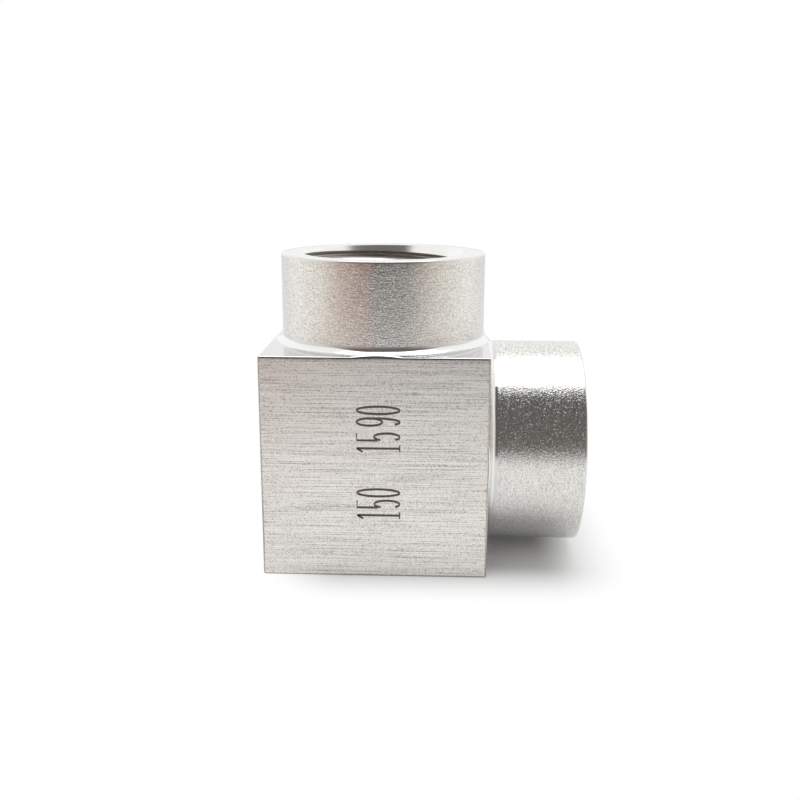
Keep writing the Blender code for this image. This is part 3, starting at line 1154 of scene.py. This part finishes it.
TABLE = 3.0
TABLE_COLOUR = (0.70, 0.70, 0.695)
TABLE_MIRRORED = 0.6
SHADOW_CENTRE = (0.009, 0.0, 0.0)
SHADOW_HALF = (0.012, 0.010, 1.0)
SHADOW_FADES = (-0.001, 0.012)
DISTANCE_STEPS = (
    ("SUBTRACT", SHADOW_CENTRE),
    ("ABSOLUTE", None),
    ("SUBTRACT", SHADOW_HALF),
    ("MAXIMUM", (0.0, 0.0, 0.0)),
    ("LENGTH", None),
)


def table_material():
    """A matt pale table that keeps the elbow's shadow, and further away is as white as the room behind
    it, where it is seen or mirrored. How far is the distance from a rectangle round the shadow: the
    length of what is left of the place once the rectangle's half sizes are taken off."""
    material = plain_material("table_white", TABLE_COLOUR, 1.0)
    tree = material.node_tree
    place = add_node(tree, "ShaderNodeTexCoord").outputs["Object"]
    for operation, amount in DISTANCE_STEPS:
        step = add_node(tree, "ShaderNodeVectorMath", operation=operation)
        feed(tree, step.inputs[0], place)
        if amount:
            step.inputs[1].default_value = amount
        place = step.outputs["Value" if operation == "LENGTH" else "Vector"]
    far = spread(tree, place, *SHADOW_FADES)
    path = add_node(tree, "ShaderNodeLightPath")
    mirrored = calculate(tree, "MULTIPLY", path.outputs["Is Glossy Ray"], TABLE_MIRRORED)
    seen = calculate(tree, "MAXIMUM", path.outputs["Is Camera Ray"], path.outputs["Is Transmission Ray"])
    seen = calculate(tree, "MAXIMUM", seen, mirrored)
    glow = add_node(tree, "ShaderNodeEmission")
    glow.inputs["Strength"].default_value = 1.0
    mix = add_node(tree, "ShaderNodeMixShader")
    feed(tree, mix.inputs[0], calculate(tree, "MULTIPLY", far, seen))
    feed(tree, mix.inputs[1], tree.nodes["Principled BSDF"].outputs[0])
    feed(tree, mix.inputs[2], glow.outputs[0])
    feed(tree, tree.nodes["Material Output"].inputs["Surface"], mix.outputs[0])
    return material


corners = [(-TABLE, -TABLE, 0.0), (TABLE, -TABLE, 0.0), (TABLE, TABLE, 0.0), (-TABLE, TABLE, 0.0)]
card("table", corners, table_material())
print("table", 2 * TABLE, "m wide")

# %% [markdown]
# ## What the steel mirrors
# Each hub shows a dark band with a reddish rim: the dim side of the room, mirrored. Steel that mirrors
# nothing but white is plain white. A flat dark card would give a band, but with hard ends. So part of a
# round wall stands on the camera's side, coloured by a ramp over the direction round the elbow. It fades
# to white at its foot, and high up also to both sides. Only reflections show it.

# %% Room in front
WALL_RADIUS = 0.21
WALL_FOOT = 0.045
WALL_LIFT = 0.0004
WALL_HEIGHT = 0.75
WALL_SECTOR = math.radians(240.0)
WALL_STEPS = 96
WALL_WHITE_TO = 0.05
WALL_FULL_FROM = 0.26
WALL_ASIDE = (math.radians(52.0), math.radians(72.0))
WALL_HIGH = (0.08, 0.16)
WALL_MIDDLE = math.radians(10.0)
HIGH_SQUEEZE = 0.65
WALL_WHITE = (0.94, 0.94, 0.935, 1.0)
# Directions in degrees from straight in front, towards +X, and the colours there.
WALL_COLOURS = (
    (-110, (1.0, 1.0, 0.98)),
    (-72, (0.90, 0.86, 0.80)),
    (-44, (0.54, 0.43, 0.37)),
    (-26, (0.38, 0.23, 0.19)),
    (-14, (0.31, 0.18, 0.15)),
    (-6, (0.145, 0.143, 0.14)),
    (26, (0.15, 0.146, 0.14)),
    (40, (0.36, 0.30, 0.27)),
    (62, (0.72, 0.67, 0.61)),
    (110, (1.0, 1.0, 0.98)),
)


def reflected_only(wall):
    """Shows a wall in reflections only: the camera doesn't see it, and it keeps no light out."""
    wall.visible_camera = False
    wall.visible_diffuse = False
    wall.visible_shadow = False


def room_material():
    """What the steel mirrors in front: a colour by the direction round the elbow, as a ramp, which
    fades in from white with the way along the table and up the wall. High up the ramp is nearly three
    times as wide, and both sides are white."""
    material = bpy.data.materials.new("room_front")
    material.use_nodes = True
    tree = material.node_tree
    tree.nodes.remove(tree.nodes["Principled BSDF"])
    parts = add_node(tree, "ShaderNodeSeparateXYZ")
    feed(tree, parts.inputs[0], add_node(tree, "ShaderNodeTexCoord").outputs["Object"])
    x, y, z = parts.outputs
    angle = calculate(tree, "ARCTAN2", x, calculate(tree, "MULTIPLY", y, -1.0))
    ramp = add_node(tree, "ShaderNodeValToRGB")
    high = spread(tree, z, *WALL_HIGH)
    squeeze = calculate(tree, "MULTIPLY_ADD", high, -HIGH_SQUEEZE, 1.0)
    squeezed = calculate(tree, "MULTIPLY", angle, squeeze)
    widened = calculate(tree, "MULTIPLY_ADD", high, WALL_MIDDLE, squeezed)
    feed(tree, ramp.inputs[0], calculate(tree, "MULTIPLY_ADD", widened, 1 / math.tau, 0.5))
    ramp.color_ramp.interpolation = "EASE"
    stops = ramp.color_ramp.elements
    for degrees, colour in WALL_COLOURS[1:-1]:
        stops.new(degrees / 360 + 0.5).color = (*colour, 1.0)
    for stop, (degrees, colour) in ((stops[0], WALL_COLOURS[0]), (stops[-1], WALL_COLOURS[-1])):
        stop.position = degrees / 360 + 0.5
        stop.color = (*colour, 1.0)
    print("room front", [(round(360 * stop.position - 180), round(stop.color[0], 2)) for stop in stops])
    squares = calculate(tree, "MULTIPLY_ADD", x, x, calculate(tree, "MULTIPLY", y, y))
    way = calculate(tree, "ADD", calculate(tree, "SQRT", squares), z)
    glow = add_node(tree, "ShaderNodeEmission")
    fade = add_node(tree, "ShaderNodeMix", data_type="RGBA")
    white, wall = [socket for socket in fade.inputs if socket.type == "RGBA"]
    white.default_value = WALL_WHITE
    off_middle = calculate(tree, "ABSOLUTE", calculate(tree, "SUBTRACT", angle, WALL_MIDDLE))
    aside = spread(tree, off_middle, *WALL_ASIDE)
    kept = calculate(tree, "SUBTRACT", 1.0, calculate(tree, "MULTIPLY", aside, high))
    shown = spread(tree, way, WALL_WHITE_TO, WALL_FULL_FROM)
    feed(tree, fade.inputs["Factor"], calculate(tree, "MULTIPLY", shown, kept))
    feed(tree, wall, ramp.outputs[0])
    feed(tree, glow.inputs["Color"], next(socket for socket in fade.outputs if socket.type == "RGBA"))
    feed(tree, tree.nodes["Material Output"].inputs["Surface"], glow.outputs[0])
    return material


def add_wall():
    """Part of a round wall in front of the elbow, with a foot that runs in over the table: three rows
    at a radius and a height, each along the sine and cosine of an angle."""
    angle = np.linspace(-WALL_SECTOR / 2, WALL_SECTOR / 2, WALL_STEPS + 1)[None, :]
    radius = np.array([[WALL_FOOT], [WALL_RADIUS], [WALL_RADIUS]])
    height = np.array([[WALL_LIFT], [WALL_LIFT], [WALL_HEIGHT]])
    x, y, z = np.broadcast_arrays(radius * np.sin(angle), -radius * np.cos(angle), height)
    mesh = bpy.data.meshes.new("room_front")
    points = np.stack([x, y, z], axis=-1).reshape(-1, 3)
    mesh.from_pydata(points, [], grid_faces(3, WALL_STEPS + 1, False))
    mesh.materials.append(room_material())
    wall = bpy.data.objects.new("room_front", mesh)
    bpy.context.scene.collection.objects.link(wall)
    reflected_only(wall)


add_wall()

# %% [markdown]
# ## Lamp and room light
# A wide soft lamp above gives the bright top of the side hub and the soft shadow under it. The room is
# the world: where it is seen or mirrored it is fully white, and as a light it is dimmer, so that it
# doesn't wash the shadow out.

# %% Lamp and world
SOFTBOX_SIZE = (0.36, 0.25)
SOFTBOX_PLACE = (0.03, 0.048, 0.36)
SOFTBOX_RADIANCE = 1.8
ROOM_LIGHT = 0.80


def add_softbox():
    """A rectangular lamp over the elbow. Its power is its radiance times pi times its area."""
    data = bpy.data.lights.new("softbox", "AREA")
    data.shape = "RECTANGLE"
    data.size, data.size_y = SOFTBOX_SIZE
    data.energy = SOFTBOX_RADIANCE * math.pi * data.size * data.size_y
    lamp = bpy.data.objects.new("softbox", data)
    lamp.location = SOFTBOX_PLACE
    bpy.context.scene.collection.objects.link(lamp)


def light_room():
    """A white room: full white where it is seen or mirrored, and dimmer where it only lights."""
    world = bpy.data.worlds.new("white_room")
    bpy.context.scene.world = world
    world.use_nodes = True
    tree = world.node_tree
    path = add_node(tree, "ShaderNodeLightPath")
    seen = calculate(tree, "MAXIMUM", path.outputs["Is Camera Ray"], path.outputs["Is Glossy Ray"])
    seen = calculate(tree, "MAXIMUM", seen, path.outputs["Is Transmission Ray"])
    strength = calculate(tree, "MULTIPLY_ADD", seen, 1.0 - ROOM_LIGHT, ROOM_LIGHT)
    feed(tree, tree.nodes["Background"].inputs["Strength"], strength)
    tree.nodes["Background"].inputs["Color"].default_value = (1.0, 1.0, 1.0, 1.0)


add_softbox()
light_room()
bpy.context.scene.view_settings.view_transform = "Standard"
print("lamp", [round(1000 * side) for side in SOFTBOX_SIZE], "mm, room light", ROOM_LIGHT)
